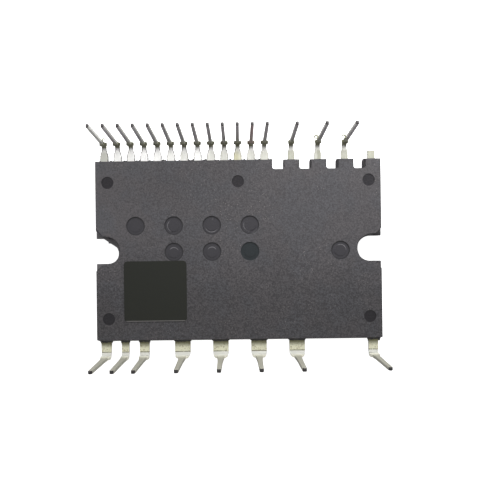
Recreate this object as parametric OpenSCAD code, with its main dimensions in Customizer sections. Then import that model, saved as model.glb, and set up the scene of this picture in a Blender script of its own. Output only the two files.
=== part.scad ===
// Transfer-moulded three-phase power module, dual in line, long leads.
// The heat-sink face lies on z = 0 and the leads stand up in +Z, towards the circuit board.
// +Y is the side of the fine control leads, -Y the side of the broad power leads.

/* [Moulded body] */
// Length at the parting line
body_l = 38; // [37.8:0.1:44]
// Width at the parting line
body_w = 24; // [23.8:0.1:30]
// Thickness, from the heat-sink face to the lead side
body_h = 3.5; // [3.3:0.05:4.2]
// Height of the parting plane, where the two mould halves meet
parting_z = 1.5; // [1.4:0.05:1.7]
// Draft of every moulded wall, in degrees
draft = 6; // [2:0.5:7]
// Radius of the upright corners at the parting line
corner_r = 0.3; // [0.3:0.05:0.9]
// Step all round by which the upper mould half is smaller than the lower one
mould_step = 0.05; // [0.02:0.01:0.1]

/* [Screw notches] */
// Distance between the two screw centres
screw_pitch = 35; // [34.6:0.05:35.4]
// Radius of the notch in the lower mould half, which the screw passes
screw_r = 1.66; // [1.5:0.01:1.7]
// Ledge that the wider upper half leaves round the screw's washer
notch_ledge = 0.05; // [0.02:0.01:0.3]
// Leg of the chamfers at the mouth of the upper half
mouth_chamfer = 1.2; // [0.6:0.1:1.4]
// Thickness of the web of resin that the broken gate left in the left notch
gate_t = 0.5; // [0.2:0.05:0.9]
// Distance from the screw centre, towards the mouth, at which the web's edge leaves the wall
gate_start = 0.52; // [0.4:0.01:0.9]
// Slant of that edge across the notch, in degrees
gate_slant = 34; // [25:1:40]
// Radius of the round end of the opening that the web leaves
gate_hole_r = 1.36; // [1.2:0.01:1.45]
// Distance of its middle from the screw centre, towards the body
gate_hole_x = 0.1; // [0:0.01:0.15]

/* [Creepage comb] */
// Half-slot numbers of the control row where the comb is cut
comb_slots = [13, 15, 17, 19];
// Width of a comb slot at the parting line
comb_w = 1.5; // [1:0.02:1.6]
// Depth of a comb slot from the side wall, at the parting line
comb_depth = 1.45; // [0.8:0.05:1.6]
// Radius of the corners at the bottom of a slot
comb_r = 0.25; // [0.15:0.05:0.45]
// Draft of the slot walls, in degrees
comb_draft = 1.5; // [0.5:0.5:4]

/* [Mould marks] */
// Diameter of the ejector marks
ejector_d = 1.6; // [1:0.1:2]
// Depth of the ejector marks
ejector_depth = 0.1; // [0.05:0.01:0.2]
// Distance of the ejector marks from the body's ends
ejector_end = 1.85; // [1.4:0.05:2.4]
// Distance of the ejector marks from the body's sides
ejector_side = 3.05; // [2.6:0.05:3.6]
// Diameter of the dimples left by the pins that press the frame down
dimple_d = 2.45; // [1.8:0.05:2.6]
// Depth of the ring round a dimple
dimple_depth = 0.15; // [0.08:0.01:0.25]
// Diameter of the disc in the middle of a dimple
dimple_disc_d = 1.5; // [1:0.05:1.6]
// Height of that disc over the ring's floor
dimple_disc_h = 0.06; // [0.02:0.01:0.07]
// Spacing of the dimples along a row
dimple_pitch = 5; // [4.9:0.02:5.2]
// Distance from the middle of the body to the third dimple of the upper row
dimple_x = 3.52; // [3:0.02:3.8]
// Distance from the middle of the body to the single dimple at the right
dimple_far_x = 13.35; // [12.6:0.05:14]
// Height of the upper row over the middle of the body
dimple_upper_y = 3.22; // [2.9:0.02:3.8]
// Height of the lower row over the middle of the body
dimple_lower_y = -0.24; // [-0.3:0.02:0.2]

/* [Blank label] */
// Length of the label
label_l = 8.2; // [6:0.1:8.6]
// Width of the label
label_w = 7.9; // [6:0.05:8.1]
// Thickness of the label
label_t = 0.1; // [0.05:0.01:0.2]
// Corner radius of the label
label_r = 0.45; // [0.2:0.05:0.8]
// Distance of the label from the body's left end
label_end = 3.9; // [2.4:0.1:5]
// Distance of the label from the body's power side
label_side = 2.7; // [2:0.05:2.8]

/* [Leads] */
// Thickness of the lead frame
lead_t = 0.4; // [0.3:0.02:0.44]
// Distance from the side wall to the start of the bend
lead_out = 1.48; // [1.2:0.02:2.2]
// Inside radius of the bend
bend_r = 0.45; // [0.25:0.05:0.6]
// Height of the lead tips over the heat-sink face
tip_z = 14; // [9:0.1:16]
// Outward splay of the upright leads, in degrees
splay = 2.3; // [0.5:0.1:5]
// Depth inside the wall at which a lead takes its outside width
seal = 0.3; // [0.1:0.05:0.5]
// Length of the bevel at the lead tips
tip_bevel = 0.25; // [0.1:0.05:0.4]

/* [Control leads] */
// Pitch of the control grid
control_pitch = 1.778; // [1.76:0.002:1.79]
// Width where a close-set control lead leaves the body
control_root_w = 1.08; // [0.9:0.02:1.2]
// Width where a wide-set control lead leaves the body
sparse_root_w = 0.9; // [0.8:0.02:1]
// Length outside the wall over which it keeps that width
control_straight = 0.7; // [0.4:0.05:0.9]
// Width of a control lead in its bend
control_neck_w = 0.62; // [0.56:0.02:0.7]
// Width across the sheared tie-bar ears over the bend
ear_w = 1; // [0.8:0.02:1.1]
// Width across the ears of the wide-set leads
sparse_ear_w = 0.84; // [0.74:0.02:0.9]
// Height over the bend at which the ears begin
ear_start = 0.1; // [0.05:0.05:0.2]
// Height over the bend at which the ears end
ear_end = 0.4; // [0.25:0.05:0.5]
// Height over the bend at which the slim pin begins
pin_start = 0.8; // [0.6:0.05:1.2]
// Width of a control pin just over the ears
control_pin_w = 0.46; // [0.42:0.02:0.54]
// Width of a control pin at its tip
control_tip_w = 0.38; // [0.34:0.02:0.4]
// How far the cut-off spare lead stands out of the body
stub_out = 1; // [0.6:0.05:1.2]
// Width of the cut-off spare lead
stub_w = 0.97; // [0.8:0.01:1]

/* [Power leads] */
// Pitch of the power grid
power_pitch = 2.54; // [2.5:0.01:2.56]
// Width of the broad leads, which carry the die pads
broad_w = 2.06; // [1.8:0.02:2.2]
// Width of the slim leads
slim_w = 1.28; // [1.2:0.02:1.5]
// Width of the first slim lead where it leaves the body
flared_w = 1.4; // [1.2:0.02:1.6]
// Width of the slimmest lead
slimmest_w = 0.98; // [0.96:0.02:1.2]
// Reach of the power leads into the resin, before the down-set
power_finger_in = 2.1; // [1.9:0.05:2.2]
// Height of the shoulders over the bend on the broad leads
broad_shoulder_h = 0.55; // [0.55:0.05:3]
// Height of the shoulders over the bend on the slim leads
slim_shoulder_h = 1.1; // [0.55:0.05:3.6]
// Largest radius of the shoulders
shoulder_r = 0.5; // [0.2:0.05:0.5]
// Width of a broad lead's pin where it leaves the shoulders
broad_foot_w = 0.95; // [0.8:0.05:1.4]
// Width of a slim lead's pin where it leaves the shoulders
slim_foot_w = 0.86; // [0.76:0.02:0.92]
// Length of the taper over the shoulders of a broad lead
broad_taper = 3.6; // [1:0.1:4]
// Length of the taper over the shoulders of a slim lead
slim_taper = 2.4; // [0.8:0.1:3]
// Width of a power pin over that taper
power_pin_w = 0.66; // [0.6:0.02:0.78]
// Width of a power pin at its tip
power_tip_w = 0.52; // [0.46:0.01:0.58]

/* [Heat spreading] */
// Length of the copper foil in the heat-sink face
foil_l = 28.8; // [28:0.1:29.4]
// Width of the copper foil
foil_w = 15; // [14:0.1:16]
// Distance of the foil's middle from the body's middle, towards the power side
foil_shift = 1.5; // [1:0.1:2]
// Thickness of the copper foil
foil_t = 0.1; // [0.05:0.01:0.15]
// Thickness of the insulating sheet over it
sheet_t = 0.2; // [0.12:0.01:0.25]
// Margin of the die pads inside the sheet
pad_margin = 0.5; // [0.3:0.05:0.6]
// Gap between two die pads
pad_gap = 0.4; // [0.3:0.02:0.46]
// Width of a die pad across the body
pad_w = 12; // [11:0.1:12.4]
// Flat lap at each end of the slanting web between a lead and its die pad
web_lap = 0.2; // [0.1:0.05:0.3]

/* [Chips] */
// Length of a switch chip along the body
igbt_l = 2.8; // [2:0.1:2.9]
// Width of a switch chip across the body
igbt_w = 3.4; // [2.4:0.1:3.8]
// Length and width of a free-wheeling diode chip
diode_l = 2.4; // [1.8:0.1:2.8]
// Thickness of the chips
chip_t = 0.25; // [0.1:0.01:0.3]
// Distance from the pad's inner edge to the middle of the switch chip
igbt_inset = 3; // [2.2:0.1:3.4]
// Distance between the middles of the two chips of one leg
chip_step = 5; // [4.2:0.1:5.6]
// Diameter of the aluminium bond wires
wire_d = 0.3; // [0.15:0.01:0.38]
// Height of a wire's loop over the chips
loop_h = 1.1; // [0.7:0.05:1.3]
// Distance between the two wires of one leg
wire_pair = 1.1; // [0.8:0.05:1.4]
// Length of a driver chip
driver_l = 4; // [2.4:0.1:5]
// Width of a driver chip
driver_w = 1.8; // [1.2:0.1:2]
// Thickness of a driver chip
driver_t = 0.3; // [0.15:0.01:0.35]
// Width of the pad under a driver chip, across the body
driver_pad_w = 2.6; // [2.2:0.1:3]
// Gap between that pad and the other leads' inner ends
driver_gap = 0.8; // [0.5:0.05:1]
// Reach of the control leads into the resin
finger_in = 3.4; // [2.6:0.1:4]
// Width of a control lead inside the resin
finger_w = 0.8; // [0.6:0.02:0.9]

/* [Hidden] */
$fn = 64;
o = 0.5; // overshoot of every cut

// Control row, left to right: name, slot, and "close", "sparse" or "stub".
CONTROL = [
    ["lead_c17_nc", 0, "close"],
    ["lead_c16_vnc", 1, "close"],
    ["lead_c15_cin", 2, "close"],
    ["lead_c14_fo", 3, "close"],
    ["lead_c13_vn1", 4, "close"],
    ["lead_c12_wn", 5, "close"],
    ["lead_c11_vn", 6, "close"],
    ["lead_c10_un", 7, "close"],
    ["lead_c09_vnc", 8, "close"],
    ["lead_c08_vp1", 9, "close"],
    ["lead_c07_wp", 10, "close"],
    ["lead_c06_vp", 11, "close"],
    ["lead_c05_up", 12, "close"],
    ["lead_c04_w_boot", 14, "sparse"],
    ["lead_c03_v_boot", 16, "sparse"],
    ["lead_c02_u_boot", 18, "sparse"],
    ["lead_c01_spare", 20, "stub"]];
control_last = CONTROL[len(CONTROL) - 1][1];
// Power row, left to right: name, slot, "slim" or "broad", width at the wall, width in the
// bend, and the number of its die pad, or -1 for a plain inner end.
POWER = [
    ["lead_p18_nw", 0, "slim", flared_w, slim_w, -1],
    ["lead_p19_nv", 1, "slim", slimmest_w, slimmest_w, -1],
    ["lead_p20_nu", 2, "slim", slim_w, slim_w, -1],
    ["lead_p21_w", 4, "broad", broad_w, broad_w, 0],
    ["lead_p22_v", 6, "broad", broad_w, broad_w, 1],
    ["lead_p23_u", 8, "broad", broad_w, broad_w, 2],
    ["lead_p24_p", 10, "broad", broad_w, broad_w, 3],
    ["lead_p25_nc", 14, "slim", slim_w, slim_w, -1]];
power_last = POWER[len(POWER) - 1][1];
PAD = 5; // place of the die pad's number in a power lead's row
last_pad = max([for (p = POWER) p[PAD]]);
// Legs of the bridge: name, its die pad, and its place along the pad.
LEGS = [
    ["wn", 0, 0.5], ["vn", 1, 0.5], ["un", 2, 0.5],
    ["up", 3, 1 / 6], ["vp", 3, 3 / 6], ["wp", 3, 5 / 6]];
// Driver chips: name, the slot of the lead that carries it, first and last slot of the pad.
DRIVERS = [
    ["driver_low_side", 1, 0.5, 5],
    ["driver_high_side", 8, 7, 14]];

slope = tan(draft);
upper_h = body_h - parting_z;
notch_x = screw_pitch / 2;
lead_top = parting_z + lead_t;
bend_y = body_w / 2 + lead_out;
bend_mid_r = bend_r + lead_t / 2;
bend_angle = 90 - splay;
bend_z = lead_top + bend_r;
riser_l = (tip_z - bend_z + bend_mid_r * cos(bend_angle)) / sin(bend_angle);
pad_z = foil_t + sheet_t;
chip_z = pad_z + lead_t;
wire_z = chip_z + chip_t;
pad_y0 = -foil_shift - foil_w / 2 + pad_margin;
igbt_y = pad_y0 + pad_w - igbt_inset;
diode_y = igbt_y - chip_step;
wire_r = (pow(chip_step / 2, 2) + pow(loop_h, 2)) / (2 * loop_h);
finger_y = body_w / 2 - finger_in;
driver_y = finger_y - driver_gap - driver_pad_w / 2;
chip_colour = [0.35, 0.36, 0.38];
lead_colour = [0.76, 0.76, 0.66];

function control_x(slot) = (slot - control_last / 2) * control_pitch;
function power_x(slot) = (slot - power_last / 2) * power_pitch;
function pad_lead(i) = [for (p = POWER) if (p[PAD] == i) p][0];
function pad_x1(i) = i < last_pad ? power_x(pad_lead(i)[1]) + pad_lead(i)[3] / 2
    : foil_l / 2 - pad_margin;
function pad_x0(i) = i == 0 ? pad_margin - foil_l / 2 : pad_x1(i - 1) + pad_gap;
function leg_x(leg) = pad_x0(leg[1]) + leg[2] * (pad_x1(leg[1]) - pad_x0(leg[1]));
function driver_x(d) = (control_x(d[2]) + control_x(d[3])) / 2;
function driver_of(slot) = [for (d = DRIVERS) if (d[1] == slot) d];

// ---- moulded shapes ----

// A block whose walls lean in by the draft as z rises, its upright corners true cones.
module drafted_block(l, w, r, h) {
    lean = h * slope;
    rotate([90, 0, 0])
        linear_extrude(w - 2 * r, center = true)
            polygon([[-l / 2, 0], [l / 2, 0], [l / 2 - lean, h], [lean - l / 2, h]]);
    rotate([90, 0, 90])
        linear_extrude(l - 2 * r, center = true)
            polygon([[-w / 2, 0], [w / 2, 0], [w / 2 - lean, h], [lean - w / 2, h]]);
    for (x = [-1, 1], y = [-1, 1])
        translate([x * (l / 2 - r), y * (w / 2 - r), 0])
            cylinder(h = h, r1 = r, r2 = r - lean);
}

// A cut open towards +Y whose walls lean out by angle as z rises. It starts at y = 0,
// w wide, with rounded corners of radius r; at r = w / 2 its end is a half circle.
module drafted_cut(w, r, reach, h, angle) {
    rise = h + o;
    lean = rise * tan(angle);
    translate([0, r, 0])
        rotate([90, 0, 180])
            linear_extrude(reach)
                polygon([[-w / 2, 0], [w / 2, 0], [w / 2 + lean, rise], [-w / 2 - lean, rise]]);
    if (w > 2 * r)
        rotate([90, 0, 90])
            linear_extrude(w - 2 * r, center = true)
                polygon([[0, 0], [2 * r, 0], [2 * r, rise], [-lean, rise]]);
    for (x = w > 2 * r ? [-1, 1] : [0])
        translate([x * (w / 2 - r), r, 0])
            cylinder(h = rise, r1 = r, r2 = r + lean);
}

// Upper half as given, lower half mirrored, both from the parting plane.
module in_upper() {
    translate([0, 0, parting_z]) children();
}

module in_lower() {
    translate([0, 0, parting_z]) mirror([0, 0, 1]) children();
}

module comb() {
    for (slot = comb_slots)
        translate([control_x(slot), body_w / 2 - comb_depth, 0]) {
            in_lower() drafted_cut(comb_w, comb_r, comb_depth + o, parting_z, comb_draft);
            in_upper() drafted_cut(comb_w, comb_r, comb_depth + o, upper_h, comb_draft);
        }
}

// One screw notch, its mouth towards +X.
module screw_notch() {
    reach = body_l / 2 - notch_x + o;
    wide_r = screw_r + notch_ledge;
    in_lower()
        translate([notch_x, 0, 0])
            rotate([0, 0, -90])
                translate([0, -screw_r, 0])
                    drafted_cut(2 * screw_r, screw_r, reach, parting_z, draft);
    in_upper()
        translate([notch_x, 0, 0])
            rotate([0, 0, -90])
                translate([0, -wide_r, 0])
                    drafted_cut(2 * wide_r, wide_r, reach, upper_h, draft);
    in_upper()
        for (side = [0, 1])
            mirror([0, side, 0])
                linear_extrude(upper_h + o)
                    polygon([[body_l / 2 - mouth_chamfer, wide_r - o],
                        [body_l / 2 - mouth_chamfer, wide_r],
                        [body_l / 2 + o, wide_r + mouth_chamfer + o],
                        [body_l / 2 + o, wide_r - o]]);
}

// Web that the resin gate left in the left notch, just under the parting plane. It fills
// the notch but for an opening with a slanting edge and a round end.
module gate_web() {
    wide = 2 * screw_r + o;
    cut_h = gate_t + 2 * o;
    translate([-notch_x, 0, parting_z - gate_t])
        difference() {
            translate([-wide, -wide, 0]) cube([2 * wide, 2 * wide, gate_t]);
            intersection() {
                translate([-gate_start, screw_r, -o])
                    rotate([0, 0, -gate_slant])
                        translate([-wide, -2 * wide, 0]) cube([3 * wide, 2 * wide, cut_h]);
                union() {
                    translate([-wide - o, -wide - o, -o])
                        cube([wide + o + gate_hole_x, 2 * (wide + o), cut_h]);
                    translate([gate_hole_x, gate_hole_r - screw_r, -o])
                        cylinder(h = cut_h, r = gate_hole_r);
                }
            }
        }
}

module mould_marks() {
    top = body_h + o;
    end = body_l / 2 - ejector_end;
    side = body_w / 2 - ejector_side;
    for (p = [[-end, side], [0, side], [end, side], [-end, -side], [end, -side]])
        translate([p[0], p[1], body_h - ejector_depth])
            cylinder(h = top, d = ejector_d);
    upper = [for (i = [-2 : 1]) [i * dimple_pitch - dimple_x, dimple_upper_y]];
    lower = [for (i = [-1 : 1]) [i * dimple_pitch - dimple_x, dimple_lower_y]];
    for (p = concat(upper, lower, [[dimple_far_x, dimple_lower_y]]))
        translate([p[0], p[1], body_h - dimple_depth])
            difference() {
                cylinder(h = top, d = dimple_d);
                translate([0, 0, -o])
                    cylinder(h = o + dimple_disc_h, d = dimple_disc_d);
            }
}

// ---- lead frame ----

// A symmetrical outline through stations of [distance, width].
module strip(stations) {
    polygon(concat(
        [for (s = stations) [-s[1] / 2, s[0]]],
        [for (i = [len(stations) - 1 : -1 : 0]) [stations[i][1] / 2, stations[i][0]]]));
}

// Turns a flat plate that goes on past the bend line up into the lead's riser.
module fold_up() {
    translate([0, bend_y, bend_z])
        rotate([bend_angle, 0, 0])
            translate([0, -bend_y, -bend_z])
                children();
}

module plate() {
    translate([0, 0, parting_z]) linear_extrude(lead_t) children();
}

module bend(w) {
    translate([0, bend_y, bend_z])
        rotate([90, 0, 90])
            rotate([0, 0, -90])
                rotate_extrude(angle = bend_angle)
                    translate([bend_r, -w / 2])
                        square([lead_t, w]);
}

function root_w(lead) = lead[2] == "close" ? control_root_w
    : lead[2] == "sparse" ? sparse_root_w : stub_w;

// The flat part of a control lead: its inner finger, any driver pad, and the part outside.
module control_flat(lead) {
    wall = body_w / 2;
    w = root_w(lead);
    inner = [[finger_y, finger_w], [wall - seal, finger_w], [wall - seal, w]];
    outer = lead[2] == "stub" ? [[wall + stub_out, w]]
        : [[wall + control_straight, w], [bend_y, control_neck_w]];
    translate([control_x(lead[1]), 0, 0])
        plate() strip(concat(inner, outer));
    for (d = driver_of(lead[1]))
        plate() {
            translate([control_x(lead[1]) - finger_w / 2, driver_y])
                square([finger_w, finger_y - driver_y]);
            translate([control_x(d[2]), driver_y - driver_pad_w / 2])
                square([control_x(d[3]) - control_x(d[2]), driver_pad_w]);
        }
}

module control_lead(lead) {
    control_flat(lead);
    ears = lead[2] == "sparse" ? sparse_ear_w : ear_w;
    if (lead[2] != "stub")
        translate([control_x(lead[1]), 0, 0]) {
            bend(control_neck_w);
            fold_up()
                plate()
                    translate([0, bend_y])
                        strip([[0, control_neck_w], [ear_start, ears], [ear_end, ears],
                            [pin_start, control_pin_w], [riser_l - tip_bevel, control_tip_w],
                            [riser_l, control_tip_w / 2]]);
        }
}

// The flat part of a power lead, drawn as if its row were on the +Y side.
module power_flat(lead) {
    wall = body_w / 2;
    translate([power_x(lead[1]), 0, 0])
        plate()
            strip([[wall - power_finger_in, lead[3]], [wall, lead[3]], [bend_y, lead[4]]]);
    if (lead[PAD] >= 0) down_set(lead);
}

// The slanting web from the lead's plane down to its die pad, and the pad.
module down_set(lead) {
    web_y = body_w / 2 - power_finger_in;
    edge_y = -pad_y0;
    translate([power_x(lead[1]), 0, 0])
        rotate([90, 0, 90])
            linear_extrude(lead[3], center = true)
                polygon([[edge_y - web_lap, pad_z], [edge_y, pad_z],
                    [web_y, parting_z], [web_y + web_lap, parting_z],
                    [web_y + web_lap, lead_top], [web_y, lead_top],
                    [edge_y, chip_z], [edge_y - web_lap, chip_z]]);
    translate([pad_x0(lead[PAD]), edge_y - pad_w, pad_z])
        cube([pad_x1(lead[PAD]) - pad_x0(lead[PAD]), pad_w, lead_t]);
}

// Broad upright with rounded shoulders, then the slim pin.
module power_riser(lead) {
    w = lead[4];
    broad = lead[2] == "broad";
    top = broad ? broad_shoulder_h : slim_shoulder_h;
    foot = broad ? broad_foot_w : slim_foot_w;
    taper = broad ? broad_taper : slim_taper;
    r = min(shoulder_r, (w - foot) / 2);
    strip([[0, w], [top - r, w]]);
    translate([r - w / 2, 0]) square([w - 2 * r, top]);
    for (side = [-1, 1])
        translate([side * (w / 2 - r), top - r]) circle(r);
    strip([[top - r, foot], [top, foot], [top + taper, power_pin_w],
        [riser_l - tip_bevel, power_tip_w], [riser_l, power_tip_w / 2]]);
}

module power_lead(lead) {
    mirror([0, 1, 0]) {
        power_flat(lead);
        translate([power_x(lead[1]), 0, 0]) {
            bend(lead[4]);
            fold_up() plate() translate([0, bend_y]) power_riser(lead);
        }
    }
}

// ---- inside the resin ----

module foil_shape() {
    translate([-foil_l / 2, -foil_shift - foil_w / 2, 0])
        cube([foil_l, foil_w, foil_t]);
}

module sheet_shape() {
    translate([-foil_l / 2, -foil_shift - foil_w / 2, foil_t])
        cube([foil_l, foil_w, sheet_t]);
}

module chip(x, y, z, size) {
    translate([x - size[0] / 2, y - size[1] / 2, z]) cube(size);
}

module igbt_shape(leg) {
    chip(leg_x(leg), igbt_y, chip_z, [igbt_l, igbt_w, chip_t]);
}

module diode_shape(leg) {
    chip(leg_x(leg), diode_y, chip_z, [diode_l, diode_l, chip_t]);
}

module driver_shape(d) {
    chip(driver_x(d), driver_y, lead_top, [driver_l, driver_w, driver_t]);
}

// Two arcs of wire from the switch chip to the diode chip of a leg.
module wires_shape(leg) {
    for (side = [-1, 1])
        translate([leg_x(leg) + side * wire_pair / 2, (igbt_y + diode_y) / 2, wire_z])
            intersection() {
                translate([0, 0, loop_h - wire_r])
                    rotate([0, 90, 0])
                        rotate_extrude() translate([wire_r, 0]) circle(d = wire_d);
                translate([-wire_d, -wire_r - wire_d, 0])
                    cube([2 * wire_d, 2 * (wire_r + wire_d), loop_h + wire_d]);
            }
}

// Everything that the resin flows round.
module insert_set() {
    foil_shape();
    sheet_shape();
    for (p = CONTROL) control_flat(p);
    mirror([0, 1, 0])
        for (p = POWER) power_flat(p);
    for (leg = LEGS) {
        igbt_shape(leg);
        diode_shape(leg);
        wires_shape(leg);
    }
    for (d = DRIVERS) driver_shape(d);
}

// ---- sub-parts ----

module mold_body() {
    color([0.34, 0.33, 0.34])
        difference() {
            union() {
                in_upper()
                    drafted_block(body_l - 2 * mould_step, body_w - 2 * mould_step,
                        corner_r, upper_h);
                in_lower() drafted_block(body_l, body_w, corner_r, parting_z);
            }
            comb();
            screw_notch();
            difference() {
                mirror([1, 0, 0]) screw_notch();
                gate_web();
            }
            mould_marks();
            insert_set();
        }
}

module blank_label() {
    color([0.19, 0.19, 0.17])
        translate([label_end - body_l / 2, label_side - body_w / 2, body_h])
            linear_extrude(label_t) {
                translate([label_r, 0]) square([label_l - 2 * label_r, label_w]);
                translate([0, label_r]) square([label_l, label_w - 2 * label_r]);
                for (x = [label_r, label_l - label_r], y = [label_r, label_w - label_r])
                    translate([x, y]) circle(label_r);
            }
}

module heat_sink_foil() {
    color([0.72, 0.45, 0.3]) foil_shape();
}

module insulating_sheet() {
    color([0.86, 0.86, 0.8]) sheet_shape();
}

module bond_wires() {
    color([0.8, 0.8, 0.8])
        for (leg = LEGS) wires_shape(leg);
}

mold_body();
blank_label();
heat_sink_foil();
insulating_sheet();
for (p = CONTROL)
    color(lead_colour) control_lead(p);
for (p = POWER)
    color(lead_colour) power_lead(p);
for (leg = LEGS) {
    color(chip_colour) igbt_shape(leg);
    color(chip_colour) diode_shape(leg);
}
for (d = DRIVERS)
    color(chip_colour) driver_shape(d);
bond_wires();
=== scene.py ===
import math
import random

import bmesh
import bpy
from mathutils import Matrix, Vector


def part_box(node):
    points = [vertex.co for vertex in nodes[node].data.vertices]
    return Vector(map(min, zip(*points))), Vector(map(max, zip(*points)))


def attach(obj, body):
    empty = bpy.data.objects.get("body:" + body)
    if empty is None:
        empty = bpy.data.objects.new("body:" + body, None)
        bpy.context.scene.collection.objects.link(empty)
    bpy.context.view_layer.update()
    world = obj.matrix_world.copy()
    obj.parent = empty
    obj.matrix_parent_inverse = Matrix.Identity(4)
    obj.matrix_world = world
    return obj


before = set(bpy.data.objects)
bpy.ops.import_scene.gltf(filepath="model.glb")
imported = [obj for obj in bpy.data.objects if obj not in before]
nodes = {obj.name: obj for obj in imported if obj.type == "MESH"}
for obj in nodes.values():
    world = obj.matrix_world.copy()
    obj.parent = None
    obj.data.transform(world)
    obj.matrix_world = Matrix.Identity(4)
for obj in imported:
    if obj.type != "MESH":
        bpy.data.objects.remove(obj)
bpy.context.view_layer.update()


# ==== Copper foil ====
# The bright side of the module that presses against the heat sink: rolled copper foil,
# laid into the mould first and left flush with the resin. It shows fine rolling lines
# along the body and thin brown oxide clouds.

MM = 0.001
# The rolling lines: their spacing, how many times longer they run, and their depth.
foil_line_d, foil_line_stretch, foil_line_depth = 0.08, 60, 0.004
foil_cloud_d = 5.0
foil_copper = (0.83, 0.44, 0.30)
foil_oxide = (0.42, 0.20, 0.12)
foil_rough = (0.28, 0.46)


class Finish:
    """A procedural finish on a Principled shader. Sizes are in millimetres, in the row frame."""

    def __init__(self, name, **sockets):
        self.material = bpy.data.materials.new(name)
        self.material.use_nodes = True
        self.tree = self.material.node_tree
        self.shader = self.tree.nodes["Principled BSDF"]
        for socket, value in sockets.items():
            self.shader.inputs[socket.replace("_", " ")].default_value = value
        place = self.tree.nodes.new("ShaderNodeTexCoord")
        self.place = self.node("Millimetres", "VectorMath",
                               {0: place.outputs["Object"], 1: (1 / MM,) * 3},
                               operation="MULTIPLY")["Vector"]
        self.x, self.y, self.z = self.split(self.place)
        self.facing_x, self.facing_y, self.facing_z = self.split(place.outputs["Normal"])

    def split(self, vector):
        parts = self.node("Place", "SeparateXYZ", {0: vector})
        return parts["X"], parts["Y"], parts["Z"]

    def node(self, label, kind, inputs, **settings):
        made = self.tree.nodes.new("ShaderNode" + kind)
        made.label = label
        for key, value in settings.items():
            setattr(made, key, value)
        for key, value in inputs.items():
            if isinstance(value, bpy.types.NodeSocket):
                self.tree.links.new(value, made.inputs[key])
            else:
                made.inputs[key].default_value = value
        return made.outputs

    def math(self, operation, *terms):
        made = self.node(operation.title(), "Math", dict(enumerate(terms)), operation=operation)
        return made["Value"]

    def both(self, *shares):
        """The product of several shares between 0 and 1."""
        total = shares[0]
        for share in shares[1:]:
            total = self.math("MULTIPLY", total, share)
        return total

    def ramp(self, value, start, end, low=0.0, high=1.0):
        """low where value is under start, high where it is over end, smooth between them."""
        return self.node("Ramp", "MapRange", {"Value": value, "From Min": start, "From Max": end,
                                              "To Min": low, "To Max": high},
                         interpolation_type="SMOOTHSTEP")["Result"]

    def band(self, value, middle, half, soft):
        """1 within half of middle, 0 further off than half and soft together."""
        off = self.math("ABSOLUTE", self.math("SUBTRACT", value, middle))
        return self.ramp(off, half, half + soft, 1, 0)

    def away(self, x, y):
        """Distance from the upright line through x, y, and the offsets along both axes."""
        along, across = self.math("SUBTRACT", self.x, x), self.math("SUBTRACT", self.y, y)
        squares = self.math("ADD", self.math("MULTIPLY", along, along),
                            self.math("MULTIPLY", across, across))
        return self.math("SQRT", squares), along, across

    def blend(self, share, first, second):
        """The first colour where share is 0, the second where it is 1."""
        mix = self.tree.nodes.new("ShaderNodeMix")
        mix.data_type = "RGBA"
        amount, under, over = mix.inputs[0], mix.inputs[6], mix.inputs[7]
        for socket, value in ((amount, share), (under, first), (over, second)):
            if isinstance(value, bpy.types.NodeSocket):
                self.tree.links.new(value, socket)
            else:
                socket.default_value = value if socket is amount else (*value, 1)
        return mix.outputs[2]

    def coats(self, base, *coats):
        """The base colour under coats, each given as its share and its colour."""
        for share, colour in coats:
            base = self.blend(share, base, colour)
        return base

    def grain(self, size, detail=3.0, rough=0.55, stretch=(1, 1, 1), seed=0.0):
        """Noise from 0 to 1 whose lumps are about size millimetres across, stretched per axis."""
        placed = self.node("Stretch", "Mapping", {
            "Vector": self.place, "Location": (seed, seed * 1.7, seed * 0.6),
            "Scale": tuple(1 / s for s in stretch)})["Vector"]
        return self.node("Grain", "TexNoise", {"Vector": placed, "Scale": 1 / size,
                                               "Detail": detail, "Roughness": rough})["Fac"]

    def sheen(self, grain, smoothest, roughest):
        """Roughness that follows a grain, from its low spots to its high ones."""
        return self.ramp(grain, 0.3, 0.7, smoothest, roughest)

    def relief(self, height, depth, under=None):
        """A bump of depth millimetres from a height between 0 and 1, over another bump."""
        inputs = {"Height": height, "Distance": depth * MM, "Strength": 1.0}
        if under is not None:
            inputs["Normal"] = under
        return self.node("Relief", "Bump", inputs)["Normal"]

    def put(self, **links):
        for socket, value in links.items():
            self.tree.links.new(value, self.shader.inputs[socket.replace("_", " ")])

    def on(self, *pieces):
        for piece in pieces:
            piece.data.materials.clear()
            piece.data.materials.append(self.material)


foil = Finish("rolled_copper_foil", Metallic=1.0)
foil_lines = foil.grain(foil_line_d, stretch=(foil_line_stretch, 1, 1))
foil_clouds = foil.ramp(foil.grain(foil_cloud_d, detail=5), 0.48, 0.72)
foil.put(
    Base_Color=foil.blend(foil_clouds, foil_copper, foil_oxide),
    Roughness=foil.ramp(foil_lines, 0.2, 0.8, *foil_rough),
    Normal=foil.relief(foil_lines, foil_line_depth),
)
foil.on(nodes["heat_sink_foil"])


# ==== Insulating sheet ====
# A sheet of epoxy filled with white ceramic powder. It lies on the foil and carries heat
# out of the die pads while it keeps them apart from the heat sink.

sheet_powder_d, sheet_powder_depth = 0.06, 0.006
sheet_pale = (0.72, 0.71, 0.66)
sheet_filler = (0.86, 0.86, 0.83)
sheet_rough = (0.62, 0.82)

sheet = Finish("filled_epoxy_sheet", Specular_IOR_Level=0.35)
sheet_powder = sheet.grain(sheet_powder_d, detail=4, rough=0.7)
sheet.put(
    Base_Color=sheet.blend(sheet.ramp(sheet_powder, 0.35, 0.65), sheet_pale, sheet_filler),
    Roughness=sheet.sheen(sheet_powder, *sheet_rough),
    Normal=sheet.relief(sheet_powder, sheet_powder_depth),
)
sheet.on(nodes["insulating_sheet"])


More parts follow.
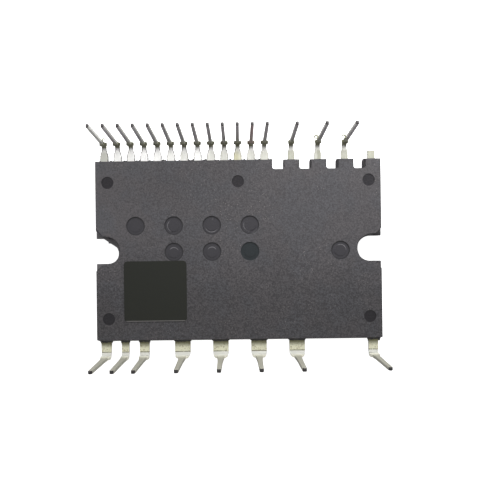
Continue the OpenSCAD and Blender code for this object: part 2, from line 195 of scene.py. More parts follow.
# ==== Control leads ====
# Sixteen slim pins and one cut-off spare, stamped from copper alloy strip, formed upright
# and plated with matt tin. Their sides are painted lighter up the shank, a painted highlight
# where they catch the light. The ears that the tie-bar shear leaves over the bend are darker,
# and the tips are cut through to the bare alloy.

body_half_w = 12.0
# How far out the flats run from the body, and the heights of the bend, the ears and the tips.
lead_out = 1.48
bend_end_z = 2.35
ear_top_z = 2.85
shank_z = 3.4
shank_high_z = 7.0
tip_z = 14.0
cut_h = 0.16
control_pitch = 1.778
control_mask_w = 0.6
# Half-widths of the flats beside the body and at the bend, and of the dark lines along them.
control_root_half_w = 0.54
control_neck_half_w = 0.29
control_line_w = 0.06
control_edge_r = 0.035
# Matt tin: its crystals, the drawing lines on the strip, and how deep each shows.
crystal_d, crystal_depth = 0.05, 0.004
drawn_d, drawn_stretch, drawn_depth = 0.03, 14, 0.003
oxide_cloud_d = 1.1

control_bright = (0.99, 0.985, 0.97)
control_cream = (0.40, 0.40, 0.33)
control_yellow = (0.50, 0.48, 0.31)
control_line = (0.09, 0.085, 0.08)
control_neck = (0.34, 0.34, 0.235)
control_ear = (0.24, 0.24, 0.155)
control_ear_top = (0.11, 0.11, 0.075)
control_low = (0.42, 0.43, 0.29)
control_high = (0.56, 0.535, 0.55)
control_side_highlight = (0.50, 0.49, 0.46)
control_pin_highlight = (0.80, 0.80, 0.76)
control_outer = (0.17, 0.165, 0.155)
tarnish_red = (0.54, 0.36, 0.34)
cut_grey = (0.075, 0.07, 0.07)
control_rough = (0.36, 0.52)
# The last of these slots holds the pin painted pale above the shank, a painted highlight.
red_pin_slot, yellow_flat_slot, lit_pin_slot = 1, 0, -10
# How far the cream oxide has come on the flats, by slot. The lead in slot -7 is still bright.
cream_slots = {-10: 0.9, -9: 0.1, -8: 0.15, -6: 0.1, -5: 0.25, -4: 0.5, -3: 0.15, -2: 0.5,
               -1: 0.75, 0: 0.8, 1: 0.7, 2: 0.95, 4: 1.15, 6: 1.0, 8: 1.15, 10: 1.05}


def tin_plate(name):
    """Matt tin with its crystals and drawing lines, and the masks that both lead rows use."""
    tin = Finish(name)
    tin.out = tin.math("SUBTRACT", tin.math("ABSOLUTE", tin.y), body_half_w)
    tin.crystals = tin.grain(crystal_d, detail=4, rough=0.7)
    drawn = tin.grain(drawn_d, stretch=(1, drawn_stretch, drawn_stretch), seed=3)
    tin.surface = tin.relief(drawn, drawn_depth, under=tin.relief(tin.crystals, crystal_depth))
    tin.tip = tin.ramp(tin.z, tip_z - cut_h - 0.1, tip_z - cut_h)
    return tin


# Points within weld_gap are one point, faces that meet within flat_angle degrees are one face,
# and only corners over edge_angle degrees are rounded.
weld_gap, flat_angle, edge_angle = 0.0005, 0.3, 30


def soften(piece, width, segments=2, punch=None):
    """Rounds the edges by width millimetres, after a cut by punch, all with modifiers."""
    weld = piece.modifiers.new("weld", "WELD")
    weld.merge_threshold = weld_gap * MM
    flat = piece.modifiers.new("flat", "DECIMATE")
    flat.decimate_type = "DISSOLVE"
    flat.angle_limit = math.radians(flat_angle)
    if punch is not None:
        cut = piece.modifiers.new("cut", "BOOLEAN")
        cut.operation = "DIFFERENCE"
        cut.object = punch
    edge = piece.modifiers.new("edge", "BEVEL")
    edge.width = width * MM
    edge.segments = segments
    edge.limit_method = "ANGLE"
    edge.angle_limit = math.radians(edge_angle)
    edge.miter_outer = "MITER_ARC"
    smooth = piece.modifiers.new("smooth", "WEIGHTED_NORMAL")
    smooth.keep_sharp = False
    for face in piece.data.polygons:
        face.use_smooth = True


control_tin = tin_plate("matt_tin_control")


def on_lead(slot):
    """1 on the control lead in this slot of the grid, 0 on the others."""
    return control_tin.band(control_tin.x, slot * control_pitch, control_mask_w, 0.1)


control_oxide = 0.0
for slot, share in cream_slots.items():
    control_oxide = control_tin.math("MULTIPLY_ADD", on_lead(slot), share, control_oxide)
control_clouds = control_tin.grain(oxide_cloud_d, detail=4, stretch=(1, 3, 3), seed=5)
control_clouds = control_tin.both(
    control_oxide,
    control_tin.ramp(control_clouds, 0.38, 0.62, 0.75, 1.1),
    control_tin.ramp(control_tin.out, 0.9, 1.45, 1.0, 0.45),
)
control_yellowed = control_tin.both(on_lead(yellow_flat_slot),
                                    control_tin.ramp(control_tin.out, 0.4, 1.2, 1, 0.3))
control_off = control_tin.math("WRAP", control_tin.x, control_pitch / 2, -control_pitch / 2)
control_off = control_tin.math("ABSOLUTE", control_off)
control_half_w = control_tin.ramp(control_tin.out, 0.6, lead_out + 0.1,
                                  control_root_half_w, control_neck_half_w)
control_inside = control_tin.math("SUBTRACT", control_half_w, control_off)
control_rim = control_tin.both(
    control_tin.ramp(control_inside, control_line_w, control_line_w + 0.07, 1, 0),
    control_tin.ramp(control_tin.grain(0.3, seed=9), 0.35, 0.6, 0.2, 1.0),
    control_tin.ramp(control_tin.x, 0.0, 4.0, 1.0, 0.3),
)
control_flat = control_tin.coats(
    control_bright,
    (control_clouds, control_tin.blend(control_yellowed, control_cream, control_yellow)),
    (control_rim, control_line),
)

control_red = on_lead(red_pin_slot)
# Painted highlight: the sides of the pins are lighter above the shank.
control_lit_sides = control_tin.ramp(control_tin.math("ABSOLUTE", control_tin.facing_x), 0.6, 0.9)
control_shank = control_tin.coats(
    control_low,
    (control_tin.ramp(control_tin.z, ear_top_z, shank_high_z), control_high),
    (control_tin.math("MULTIPLY", control_red, 0.7), tarnish_red),
    (control_tin.both(control_lit_sides, control_tin.ramp(control_tin.z, shank_z, shank_z + 1.0)),
     control_side_highlight),
    # Painted highlight: one pin is pale above the shank.
    (control_tin.both(on_lead(lit_pin_slot),
                      control_tin.ramp(control_tin.z, shank_z, shank_z + 2.6)), control_pin_highlight),
    (control_tin.ramp(control_tin.facing_y, 0.3, 0.7), control_outer),
)
control_eared = control_tin.coats(
    control_ear,
    (control_tin.ramp(control_tin.facing_z, 0.25, 0.5), control_ear_top),
    (control_tin.math("MULTIPLY", control_red, 0.2), tarnish_red),
)
control_riser = control_tin.coats(
    control_neck,
    (control_tin.ramp(control_tin.z, bend_end_z - 0.1, bend_end_z + 0.15), control_eared),
    (control_tin.ramp(control_tin.z, ear_top_z + 0.2, ear_top_z + 0.7), control_shank),
)
control_tin.put(
    Metallic=control_tin.ramp(control_tin.out, lead_out, lead_out + 0.25, 0.75, 0.35),
    Base_Color=control_tin.coats(
        control_flat,
        (control_tin.ramp(control_tin.out, lead_out + 0.24, lead_out + 0.30), control_riser),
        (control_tin.tip, cut_grey),
    ),
    Roughness=control_tin.sheen(control_tin.crystals, *control_rough),
    Normal=control_tin.surface,
)
for name in nodes:
    if name.startswith("lead_c"):
        control_tin.on(nodes[name])
        soften(nodes[name], control_edge_r)


# ==== Power leads ====
# Eight broad leads from the same strip, four of them running on inside as die pads. Their
# uprights narrow at the shoulders to a pin. Resin bleed stains their flats in specks, a painted
# shadow and reflection of the body darkens them beside it, and the forming tool leaves a
# pressed line where the bend begins.

power_pitch = 2.54
power_middle_slot = 7
broad_w = 2.06
# The width of each power lead where it leaves the body, by slot. The leads beyond slim_x show
# the forming tool's line on the bend too.
power_widths = {0: 1.4, 1: 0.98, 2: 1.28, 4: broad_w, 6: broad_w, 8: broad_w, 10: broad_w,
                14: 1.28}
slim_x = 10.5
power_edge_r = 0.1
# The spots of resin bleed, the gaps in the tool's lines, and half the width of those lines.
bleed_d, break_d = 0.22, 0.35
crease_half_w, fold_half_w = 0.035, 0.03
# The stamping die rounds the broad leads' shoulders off within the bend, whose outer face
# stands shoulder_out from the body: half-axes of the quarter ellipse, its steps, and how far
# the punch reaches.
shoulder_out = 2.33
round_x, round_y = 0.48, 0.72
round_steps = 8
punch_margin = 0.2
punch_low_z, punch_high_z = 1.2, 3.2

power_bright = (0.98, 0.97, 0.76)
power_wall_shade = (0.11, 0.105, 0.04)
power_speckle = (0.42, 0.36, 0.20)
power_bend = (1.0, 1.0, 0.93)
power_shoulder = (0.80, 0.79, 0.68)
power_pin = (0.60, 0.59, 0.50)
power_line = (0.16, 0.15, 0.09)
power_rough = (0.40, 0.56)


def power_x(slot):
    return (slot - power_middle_slot) * power_pitch


def close(form, rings):
    """Walls between rings of points that follow each other, and a face at both ends."""
    for near, far in zip(rings, rings[1:]):
        for i in range(len(near)):
            form.faces.new((near[i - 1], near[i], far[i], far[i - 1]))
    form.faces.new(rings[0])
    form.faces.new(reversed(rings[-1]))


def cast(name, form):
    """An object from a closed form, with its faces turned outwards. It isn't linked yet."""
    bmesh.ops.recalc_face_normals(form, faces=form.faces)
    mesh = bpy.data.meshes.new(name)
    form.to_mesh(mesh)
    form.free()
    return bpy.data.objects.new(name, mesh)


power_tin = tin_plate("matt_tin_power")
power_spots = power_tin.grain(bleed_d, detail=4, rough=0.65, seed=8)
power_flat = power_tin.coats(
    power_bright,
    (power_tin.ramp(power_spots, 0.52, 0.66, 0, 0.75), power_speckle),
    # Painted shadow and reflection of the body wall darken the flats beside it.
    (power_tin.ramp(power_tin.out, 0.15, 1.0, 0.9, 0.0), power_wall_shade),
)
power_riser = power_tin.coats(
    power_bend,
    (power_tin.ramp(power_tin.z, bend_end_z, bend_end_z + 0.4),
     power_tin.blend(power_tin.ramp(power_tin.z, bend_end_z + 0.5, 5.5),
                     power_shoulder, power_pin)),
)
power_breaks = power_tin.ramp(power_tin.grain(break_d, seed=4), 0.34, 0.42)
power_crease = power_tin.both(
    power_tin.band(power_tin.out, lead_out - 0.03, crease_half_w, 0.03), power_breaks)
power_slim = power_tin.ramp(power_tin.math("ABSOLUTE", power_tin.x), slim_x, slim_x + 0.5)
power_fold = power_tin.both(
    power_tin.band(power_tin.z, bend_end_z - 0.12, fold_half_w, 0.05), power_slim,
    power_breaks, 0.75)
power_tin.put(
    Metallic=power_tin.math(
        "MAXIMUM",
        power_tin.ramp(power_tin.out, lead_out, lead_out + 0.15, 0.6, 0.1),
        power_tin.ramp(power_tin.z, bend_end_z + 0.5, bend_end_z + 1.5, 0.0, 0.6),
    ),
    Base_Color=power_tin.coats(
        power_flat,
        (power_tin.ramp(power_tin.out, lead_out, lead_out + 0.05), power_riser),
        (power_crease, power_line),
        (power_fold, power_line),
        (power_tin.tip, cut_grey),
    ),
    Roughness=power_tin.sheen(power_tin.crystals, *power_rough),
    Normal=power_tin.surface,
)

punch_form = bmesh.new()
for slot, width in power_widths.items():
    if width < broad_w:
        continue
    for side in (-1, 1):
        corner_x = power_x(slot) + side * width / 2
        corner_y = -body_half_w - shoulder_out
        outline = [(corner_x + side * punch_margin, corner_y - punch_margin),
                   (corner_x + side * punch_margin, corner_y + round_y)]
        for i in range(round_steps + 1):
            turn = math.pi / 2 * i / round_steps
            outline.append((corner_x - side * round_x * (1 - math.cos(turn)),
                            corner_y + round_y * (1 - math.sin(turn))))
        outline.append((corner_x - side * round_x, corner_y - punch_margin))
        close(punch_form, [[punch_form.verts.new((x * MM, y * MM, z * MM)) for x, y in outline]
                           for z in (punch_low_z, punch_high_z)])
shoulder_punch = cast("shoulder_punch", punch_form)
for name in nodes:
    if name.startswith("lead_p"):
        power_tin.on(nodes[name])
        soften(nodes[name], power_edge_r, segments=3, punch=shoulder_punch)


# ==== Switch and diode chips ====
# Six transistor chips and six free-wheeling diode chips of thinned silicon, soldered on the
# die pads. Their top metal is aluminium, and the sawn sides are bare silicon.

foil_t, sheet_t, pad_t, chip_t = 0.1, 0.2, 0.4, 0.25
chip_top_z = foil_t + sheet_t + pad_t + chip_t
chip_grain_d, chip_grain_depth = 0.05, 0.002
chip_metal_t = 0.01
chip_metal = (0.62, 0.62, 0.64)
chip_bright = (0.72, 0.72, 0.73)
chip_silicon = (0.10, 0.10, 0.13)
chip_rough = (0.22, 0.38)

chip = Finish("metallised_silicon", Metallic=0.8)
chip_grain = chip.grain(chip_grain_d, detail=4)
chip_up = chip.ramp(chip.z, chip_top_z - chip_metal_t - 0.03, chip_top_z - chip_metal_t)
chip.put(
    Base_Color=chip.coats(chip_silicon, (chip_up, chip.blend(chip_grain, chip_metal, chip_bright))),
    Roughness=chip.sheen(chip_grain, *chip_rough),
    Normal=chip.relief(chip_grain, chip_grain_depth),
)
for name in nodes:
    if name.startswith(("igbt_", "diode_")):
        chip.on(nodes[name])


# ==== Driver chips ====
# The low-side and high-side driver chips, glued to pads of two control leads. Their faces
# are dark glassy silicon with faint rows of circuit blocks.

block_l, block_w, track_w = 0.45, 0.3, 0.02
track_depth = 0.003
driver_dust_d = 0.07
driver_blue = (0.09, 0.10, 0.13)
driver_violet = (0.13, 0.11, 0.15)
driver_track = (0.20, 0.20, 0.20)
driver_rough = (0.15, 0.3)

driver = Finish("driver_silicon", Metallic=0.2)
driver_rows = driver.node("Rows", "TexBrick", {
    "Vector": driver.place, "Scale": 1.0, "Color1": (*driver_blue, 1),
    "Color2": (*driver_violet, 1), "Mortar": (*driver_track, 1), "Mortar Size": track_w,
    "Brick Width": block_l, "Row Height": block_w})
driver.put(
    Base_Color=driver_rows["Color"],
    Roughness=driver.sheen(driver.grain(driver_dust_d), *driver_rough),
    Normal=driver.relief(driver_rows["Fac"], track_depth),
)
driver.on(nodes["driver_low_side"], nodes["driver_high_side"])


# ==== Bond wires ====
# Two thick aluminium wires for each leg of the bridge, drawn bright and welded by ultrasound
# from the switch chip to its diode chip.

wire_line_d, wire_line_stretch, wire_line_depth = 0.03, 20, 0.002
wire_dull = (0.78, 0.78, 0.79)
wire_bright = (0.90, 0.90, 0.91)
wire_rough = (0.2, 0.34)

wire = Finish("drawn_aluminium", Metallic=1.0)
wire_lines = wire.grain(wire_line_d, stretch=(1, wire_line_stretch, wire_line_stretch))
wire.put(
    Base_Color=wire.blend(wire_lines, wire_dull, wire_bright),
    Roughness=wire.sheen(wire_lines, *wire_rough),
    Normal=wire.relief(wire_lines, wire_line_depth),
)
wire.on(nodes["bond_wires"])


# ==== Moulded body ====
# Black epoxy resin filled with silica, transfer-moulded round the frame. The spark-eroded
# mould leaves an even fine grain, and the retracting pins and ejectors leave smooth, darker
# marks. The last pin dimple of the lower row was run full with dark resin.

resin_top_z = 3.5
resin_edge_r = 0.02
# The pin dimples lie within these distances of the middle, the ejector marks beyond this y.
# A mark is more than mark_depth deep, and an ejector mark less than ejector_depth.
dimple_reach_x, dimple_reach_y = 15.0, 5.0
ejector_y = 7.8
mark_depth, ejector_depth = 0.03, 0.12
mark_fade = 0.2
dimple_wall_r = 1.24
moat_r, moat_half_w = 1.16, 0.05
rim_half_w = 0.01
full_dimple = (1.48, -0.24)
# The dimples: place, then the radius of the inner rim and the side (in degrees) where a
# painted highlight lies on it, if it shows.
dimple_rims = [
    (-13.52, 3.22, None, None), (-8.52, 3.22, 0.80, 190), (-3.52, 3.22, 0.88, 265),
    (1.48, 3.22, 0.80, 215), (-8.52, -0.24, 0.60, 85), (-3.52, -0.24, 0.60, 90),
    (1.48, -0.24, None, None), (13.35, -0.24, 0.74, 60)]
# The ledge in the left notch is painted lighter, painted light where the wall shades it, and
# the corner over it darker, a painted shade that ends on the line where x plus the slope below
# times y is the end below.
ledge_light_x, ledge_light_z = -15.2, 3.1
corner_shade_slope, corner_shade_end = 0.88, -16.15
corner_shade_y = 1.0
# The mould's grain, the patches it comes in, and the tint's, with the depths that show.
resin_fine_d, resin_broad_d, resin_tint_d = 0.2, 6.0, 4.0
resin_fine_depth, resin_broad_depth = 0.03, 0.02
# The grain is strongest below strong_y and faintest above faint_y. The face is palest at
# pale_x, and above pale_y.
strong_y, faint_y = -7.0, 3.0
grain_strong, grain_faint = 1.6, 0.85
pale_x, pale_end_x = -18.0, -9.0
pale_y, pale_end_y = 2.5, 0.0
pale_lift = 0.06
# The silica specks: one in each square of speck_pitch, and its radius in the same measure.
speck_pitch, speck_r = 0.4, 0.10
# A painted shade darkens the face towards the bottom: at the share given below under the
# first y here, gone above the second, with a border that sways by the third.
low_shade_y, low_shade_end_y, low_shade_sway = -8.0, 1.5, 2.0
low_shade_share = 0.26
resin_rough, mark_rough = 0.56, 0.40

resin_tone = (0.040, 0.0375, 0.041)
resin_warm = (0.093, 0.086, 0.091)
resin_cool = (0.087, 0.0855, 0.094)
resin_mark_and_shade_tone = (0.032, 0.030, 0.036)
resin_eject_tone = (0.005, 0.0035, 0.0065)
resin_eject_light = (0.022, 0.019, 0.024)
resin_moat_shade_tone = (0.015, 0.0145, 0.017)
resin_ledge_light_bright = (0.23, 0.22, 0.23)
resin_ledge_light_dim = (0.13, 0.125, 0.13)
resin_rim_highlight_tone = (0.17, 0.165, 0.175)
resin_full_tone = (0.010, 0.015, 0.018)
resin_low_shade_tone = (0.004, 0.004, 0.004)
silica_speck = (0.22, 0.20, 0.19)

resin = Finish("moulded_black_resin", Specular_IOR_Level=0.4)
resin_fine = resin.grain(resin_fine_d, detail=5, rough=0.75)
resin_broad = resin.grain(resin_broad_d, detail=4, seed=2)
resin_off_x = resin.math("ABSOLUTE", resin.x)
resin_off_y = resin.math("ABSOLUTE", resin.y)
resin_up = resin.ramp(resin.facing_z, 0.5, 0.9)

resin_sunk_z = resin_top_z - mark_depth
resin_eject_z = resin_top_z - ejector_depth
resin_sunk = resin.both(resin_up, resin.ramp(resin.z, resin_sunk_z - 0.03, resin_sunk_z, 1, 0))
resin_ejected = resin.both(
    resin_sunk,
    resin.ramp(resin_off_y, ejector_y, ejector_y + mark_fade),
    resin.ramp(resin.z, resin_eject_z - 0.04, resin_eject_z),
)
resin_pressed = resin.both(
    resin_sunk,
    resin.ramp(resin_off_y, dimple_reach_y, dimple_reach_y + mark_fade, 1, 0),
    resin.ramp(resin_off_x, dimple_reach_x, dimple_reach_x + mark_fade, 1, 0),
)
resin_full = resin.both(
    resin.ramp(resin.away(*full_dimple)[0], dimple_wall_r, dimple_wall_r + 0.06, 1, 0),
    resin_pressed,
)
resin_rim_highlights = resin_moat_shade = 0.0
for x, y, rim_r, lit_side in dimple_rims:
    off, along, across = resin.away(x, y)
    # A painted shade rings each dimple along its moat.
    resin_moat_shade = resin.math("MAXIMUM", resin_moat_shade, resin.band(off, moat_r, moat_half_w, 0.09))
    if rim_r:
        # A painted highlight lies on the side of the inner rim that faces the given angle.
        turn = math.radians(lit_side)
        toward = resin.math("ADD", resin.math("MULTIPLY", along, math.cos(turn) / rim_r),
                            resin.math("MULTIPLY", across, math.sin(turn) / rim_r))
        rim = resin.both(resin.band(off, rim_r, rim_half_w, 0.07), resin.ramp(toward, 0.35, 0.8))
        resin_rim_highlights = resin.math("MAXIMUM", resin_rim_highlights, rim)
resin_rim_highlights = resin.both(resin_rim_highlights, resin_pressed, resin.ramp(resin_fine, 0.35, 0.6, 0.35, 1.0))
resin_moat_shade = resin.both(resin_moat_shade, resin_pressed, 0.7)

resin_contrast = resin.ramp(resin.y, strong_y, faint_y, grain_strong, grain_faint)
resin_grit = resin.math("MULTIPLY", resin.math("SUBTRACT", resin_fine, 0.5), resin_contrast)
resin_pale = resin.both(resin.ramp(resin.x, pale_x, pale_end_x, pale_lift, 0.0),
                        resin.ramp(resin.y, pale_end_y, pale_y))
resin_grit = resin.math("ADD", resin_grit, resin_pale)
resin_tint = resin.ramp(resin.grain(resin_tint_d, detail=3, seed=6), 0.4, 0.6)
resin_dots = resin.node("Specks", "TexVoronoi", {"Vector": resin.place,
                                                 "Scale": 1 / speck_pitch})
resin_specks = resin.both(resin.ramp(resin_dots["Distance"], speck_r, speck_r + 0.07, 1, 0),
                          resin.ramp(resin_broad, 0.48, 0.6, 0.1, 0.7))
# Painted shade darkens the upper corner of the left notch.
resin_corner_shade = resin.math("MULTIPLY_ADD", resin.y, corner_shade_slope, resin.x)
resin_corner_shade = resin.both(
    resin_up,
    resin.ramp(resin_corner_shade, corner_shade_end, corner_shade_end + 0.1, 1, 0),
    resin.ramp(resin.y, corner_shade_y, corner_shade_y + 0.3),
)
# Painted light brightens the ledge in the left notch, more on its +y side.
resin_ledge_light = resin.both(
    resin_up,
    resin.ramp(resin.z, ledge_light_z, ledge_light_z + 0.1, 1, 0),
    resin.ramp(resin.x, ledge_light_x, ledge_light_x + mark_fade, 1, 0),
)
# Painted shade, darker towards the bottom of the face.
resin_low_shade_edge = resin.math("ADD", resin.y,
                        resin.ramp(resin_broad, 0.3, 0.7, -low_shade_sway, low_shade_sway))
resin.put(
    Base_Color=resin.coats(
        resin_tone,
        (resin.ramp(resin_grit, -0.16, 0.16), resin.blend(resin_tint, resin_warm, resin_cool)),
        (resin_specks, silica_speck),
        (resin_pressed, resin_mark_and_shade_tone),
        (resin_ejected, resin.blend(resin.ramp(resin_fine, 0.4, 0.7),
                                    resin_eject_tone, resin_eject_light)),
        (resin_moat_shade, resin_moat_shade_tone),
        (resin_corner_shade, resin_mark_and_shade_tone),
        (resin_ledge_light, resin.blend(resin.ramp(resin.y, -0.5, 0.5),
                                   resin_ledge_light_dim, resin_ledge_light_bright)),
        (resin_rim_highlights, resin_rim_highlight_tone),
        (resin_full, resin_full_tone),
        (resin.ramp(resin_low_shade_edge, low_shade_y, low_shade_end_y, low_shade_share, 0.0), resin_low_shade_tone),
    ),
    Roughness=resin.ramp(resin.math("ADD", resin_pressed, resin_ejected), 0, 1,
                         resin_rough, mark_rough),
    Normal=resin.relief(resin_fine, resin_fine_depth,
                        under=resin.relief(resin_broad, resin_broad_depth)),
)
resin.on(nodes["mold_body"])
soften(nodes["mold_body"], resin_edge_r)


# ==== Mould flash and root shade ====
# Resin that seeped out of the closed mould and set: a ragged film along the parting line
# between the close-set control leads, and crusts round the roots of the power leads, which
# stand partly for flash and partly for the shade where the leads leave the body.

parting_z = 1.5
lead_top_z = 1.9
# All the flash starts flash_root inside the wall. The film runs between these two x.
flash_root = 0.1
film_from_x, film_to_x, film_step = -18.6, 4.7, 0.13
film_reach = 0.24
film_half_t = 0.03
# How far each crust runs past its lead on the +X side, by slot, and how far it starts before it.
crust_past = {0: 0.16, 1: 0.12, 2: 0.12, 4: 0.16, 6: 0.14, 8: 0.14, 10: 0.12, 14: 0.34}
crust_before = 0.14
crust_steps = 14
# The least and most that a crust reaches out beside a lead and on it, and at its two ends.
crust_beside, crust_over = (0.2, 0.4), (0.08, 0.2)
crust_end_reach = 0.03
flash_grain_d, flash_grain_depth = 0.09, 0.015
flash_tone = (0.030, 0.029, 0.031)
flash_light = (0.045, 0.042, 0.046)
flash_rough = (0.35, 0.6)
shake = random.Random(7)


def crust(form, stations):
    """A ragged strip through stations of x, wall y, outer y, wall top, outer top and bottom."""
    rings = []
    for x, wall_y, outer_y, wall_z, outer_z, low_z in stations:
        slope = ((wall_y + 2 * outer_y) / 3, (wall_z + 3 * outer_z) / 4)
        rings.append([form.verts.new((x * MM, y * MM, z * MM)) for y, z in (
            (wall_y, low_z), (wall_y, wall_z), slope, (outer_y, outer_z), (outer_y, low_z))])
    close(form, rings)


flash_form = bmesh.new()
film = []
x = film_from_x
while x < film_to_x:
    film.append((x, body_half_w - flash_root, body_half_w + shake.uniform(0.0, film_reach),
                 parting_z + film_half_t, parting_z + 0.02, parting_z - film_half_t))
    x += film_step
crust(flash_form, film)
# The crusts are dark resin put partly where the lead roots lie in shade, partly as flash.
for slot, past in crust_past.items():
    lead_x0 = power_x(slot) - power_widths[slot] / 2
    lead_x1 = lead_x0 + power_widths[slot]
    left, right = lead_x0 - crust_before, lead_x1 + past
    collar = []
    for i in range(crust_steps + 1):
        x = left + (right - left) * i / crust_steps
        if x < lead_x0 or x > lead_x1:
            reach = shake.uniform(*crust_beside)
            wall_z, outer_z = lead_top_z + 0.02, lead_top_z - 0.1
        else:
            reach = shake.uniform(*crust_over)
            wall_z, outer_z = lead_top_z + 0.12, lead_top_z + 0.02
        if i in (0, crust_steps):
            reach = crust_end_reach
        collar.append((x, flash_root - body_half_w, -body_half_w - reach, wall_z, outer_z,
                       parting_z))
    crust(flash_form, collar)
mould_flash_and_root_shade = cast("mould_flash_and_root_shade", flash_form)
bpy.context.scene.collection.objects.link(mould_flash_and_root_shade)
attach(mould_flash_and_root_shade, "root")

flash = Finish("seeped_resin", Specular_IOR_Level=0.5)
flash_grain = flash.grain(flash_grain_d, detail=4, rough=0.7)
flash.put(
    Base_Color=flash.blend(flash.ramp(flash_grain, 0.35, 0.65), flash_tone, flash_light),
    Roughness=flash.sheen(flash_grain, *flash_rough),
    Normal=flash.relief(flash_grain, flash_grain_depth),
)
flash.on(mould_flash_and_root_shade)


# ==== Tin shavings ====
# Fine curls that the tie-bar shear peeled off three control leads. Each stands on a stem
# about 2 mm over its ear, thins out along its length and coils inwards.

# Half the thickness of a curl where it starts, how many times taller it is than thick, its
# facets round, the steps in one turn, and the angle where it starts.
shaving_r = 0.075
shaving_tall = 2.5
shaving_ring = 6
shaving_turn = 18
shaving_start = 0.9
shaving_y, shaving_z = 14.38, 5.0
# Where the stem stands on the ear, and its steps up to the curl.
stem_x, stem_y, stem_z = 0.2, 14.0, 2.9
stem_steps = 4
# Slot of the lead, distance of the curl from the lead's middle, its radius and turns.
shavings = [(-10, 0.50, 0.20, 0.9), (6, -0.50, 0.29, 1.7), (8, -0.48, 0.29, 1.5)]
# A curl ends at this share of the radius and thickness that it starts with.
shaving_end = 0.5
shaving_grain_d, shaving_grain_depth = 0.06, 0.004
shaving_bright = (0.50, 0.51, 0.36)
shaving_dull = (0.10, 0.10, 0.06)
shaving_rough = (0.35, 0.55)

up = Vector((0, 0, 1))
shaving_form = bmesh.new()
for slot, aside, radius, turns in shavings:
    side = math.copysign(1, aside)
    middle = Vector((slot * control_pitch + aside, shaving_y, shaving_z))
    foot = Vector((slot * control_pitch + side * stem_x, stem_y, stem_z))
    steps = int(turns * shaving_turn)
    path = []
    for i in range(steps + 1):
        turn = 2 * math.pi * i / shaving_turn - shaving_start
        outward = Vector((-side * math.cos(turn), math.sin(turn), 0))
        path.append((middle + outward * radius * (1 - (1 - shaving_end) * i / steps), outward))
    first, outward = path[0]
    path = [(foot.lerp(first, i / stem_steps), outward) for i in range(stem_steps)] + path
    rings = []
    for i, (centre, outward) in enumerate(path):
        thin = shaving_r * (1 - (1 - shaving_end) * i / len(path))
        ring = []
        for k in range(shaving_ring):
            turn = 2 * math.pi * k / shaving_ring
            point = centre + outward * math.cos(turn) * thin
            point += up * math.sin(turn) * shaving_tall * thin
            ring.append(shaving_form.verts.new(point * MM))
        rings.append(ring)
    close(shaving_form, rings)
tin_shavings = cast("tin_shavings", shaving_form)
bpy.context.scene.collection.objects.link(tin_shavings)
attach(tin_shavings, "root")

shaving = Finish("peeled_tin", Metallic=0.6)
shaving_grain = shaving.grain(shaving_grain_d, detail=4)
shaving.put(
    Base_Color=shaving.blend(shaving_grain, shaving_bright, shaving_dull),
    Roughness=shaving.sheen(shaving_grain, *shaving_rough),
    Normal=shaving.relief(shaving_grain, shaving_grain_depth),
)
shaving.on(tin_shavings)


# ==== Blank label ====
# A square of black printed polyester film, pressed on by its own glue. It is left blank.
# Its lower edge is painted pale, a painted highlight where the edge catches the light.

label_low_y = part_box("blank_label")[0].y / MM
label_edge_w = 0.07
label_grain_d, label_grain_depth = 0.2, 0.003
label_black = (0.014, 0.0155, 0.0115)
label_worn = (0.018, 0.019, 0.015)
label_edge_highlight = (0.14, 0.135, 0.13)
label_rough = (0.55, 0.66)

label = Finish("matt_black_film", Specular_IOR_Level=0.25)
label_grain = label.grain(label_grain_d, detail=4)
label_edge_y = label_low_y + label_edge_w
# Painted highlight along the lower edge.
label_lit_edge = label.ramp(label.y, label_edge_y, label_edge_y + 0.06, 1, 0)
label.put(
    Base_Color=label.coats(label_black, (label_grain, label_worn), (label_lit_edge, label_edge_highlight)),
    Roughness=label.sheen(label_grain, *label_rough),
    Normal=label.relief(label_grain, label_grain_depth),
)
label.on(nodes["blank_label"])


# ==== Floor and light ====
# A white table top lit until it burns out, with a softbox close over the control-lead side
# and a room that is white overhead and dim behind the power leads.

floor_half = 1.5
floor_gap = 0.02
floor_mottle_d = 3.0
floor_glow = (1, 1, 1, 1)
floor_low = (0.86, 0.86, 0.86)
floor_high = (0.88, 0.88, 0.88)
room_dim = (0.10, 0.10, 0.105)
room_white = (1.0, 1.0, 1.0)
room_toward = (0.05, 0.45, 0.9)
room_dim_end, room_white_start = 0.5, 0.92
softbox_at, softbox_aim = (8, 46, 36), (4, 6, 0)
softbox_l, softbox_w = 60, 30
softbox_power = 0.047

floor_mesh = bpy.data.meshes.new("floor")
floor_form = bmesh.new()
bmesh.ops.create_grid(floor_form, x_segments=1, y_segments=1, size=floor_half)
floor_form.to_mesh(floor_mesh)
floor_form.free()
floor = bpy.data.objects.new("floor", floor_mesh)
floor.location.z = -floor_gap * MM
floor.visible_glossy = False
bpy.context.scene.collection.objects.link(floor)
table = Finish("white_table_top", Roughness=0.9, Emission_Strength=0.9)
table.shader.inputs["Emission Color"].default_value = floor_glow
table.put(Base_Color=table.blend(table.grain(floor_mottle_d), floor_low, floor_high))
table.on(floor)

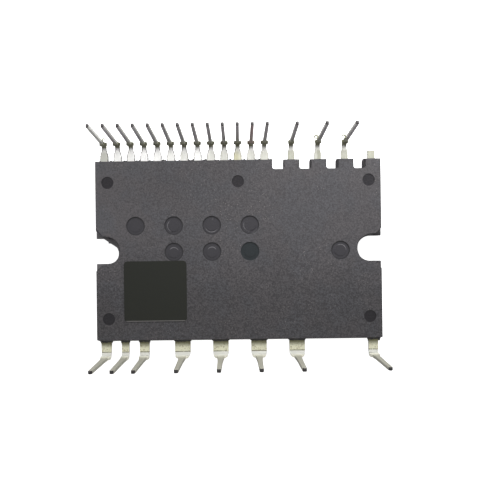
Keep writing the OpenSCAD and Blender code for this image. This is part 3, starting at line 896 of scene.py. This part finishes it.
room = bpy.data.worlds.new("room")
bpy.context.scene.world = room
room.use_nodes = True
room_tree = room.node_tree
room_back = room_tree.nodes["Background"]
room_back.inputs["Strength"].default_value = 1.0
room_way = room_tree.nodes.new("ShaderNodeTexCoord")
room_tilt = room_tree.nodes.new("ShaderNodeVectorMath")
room_tilt.operation = "DOT_PRODUCT"
room_tilt.inputs[1].default_value = room_toward
room_ramp = room_tree.nodes.new("ShaderNodeMapRange")
room_ramp.interpolation_type = "SMOOTHSTEP"
room_ramp.inputs["From Min"].default_value = room_dim_end
room_ramp.inputs["From Max"].default_value = room_white_start
room_mix = room_tree.nodes.new("ShaderNodeMix")
room_mix.data_type = "RGBA"
room_mix.inputs[6].default_value = (*room_dim, 1)
room_mix.inputs[7].default_value = (*room_white, 1)
room_tree.links.new(room_way.outputs["Generated"], room_tilt.inputs[0])
room_tree.links.new(room_tilt.outputs["Value"], room_ramp.inputs["Value"])
room_tree.links.new(room_ramp.outputs["Result"], room_mix.inputs[0])
room_tree.links.new(room_mix.outputs[2], room_back.inputs["Color"])

softbox_light = bpy.data.lights.new("key_softbox", "AREA")
softbox_light.shape = "RECTANGLE"
softbox_light.size, softbox_light.size_y = softbox_l * MM, softbox_w * MM
softbox_light.energy = softbox_power
softbox = bpy.data.objects.new("key_softbox", softbox_light)
softbox.visible_camera = False
softbox.location = Vector(softbox_at) * MM
softbox_way = Vector(softbox_aim) - Vector(softbox_at)
softbox.rotation_euler = softbox_way.to_track_quat("-Z", "Y").to_euler()
bpy.context.scene.collection.objects.link(softbox)


# ==== Camera ====
# Straight above the module, a little low and rolled by under a degree. It stands so close
# that the upright leads lean outwards.

camera_place = (-0.082, -2.523, 107.693)
camera_roll = -0.717
camera_shift = (0.02318, 0.03728)
lens_length, sensor_width = 57.17, 36

camera_data = bpy.data.cameras.new("camera")
camera_data.sensor_width = sensor_width
camera_data.lens = lens_length
camera_data.shift_x, camera_data.shift_y = camera_shift
camera_data.clip_start = 0.001
camera = bpy.data.objects.new("camera", camera_data)
camera.location = Vector(camera_place) * MM
camera.rotation_euler = (0, 0, math.radians(camera_roll))
bpy.context.scene.collection.objects.link(camera)
bpy.context.scene.camera = camera
bpy.context.scene.view_settings.view_transform = "Standard"
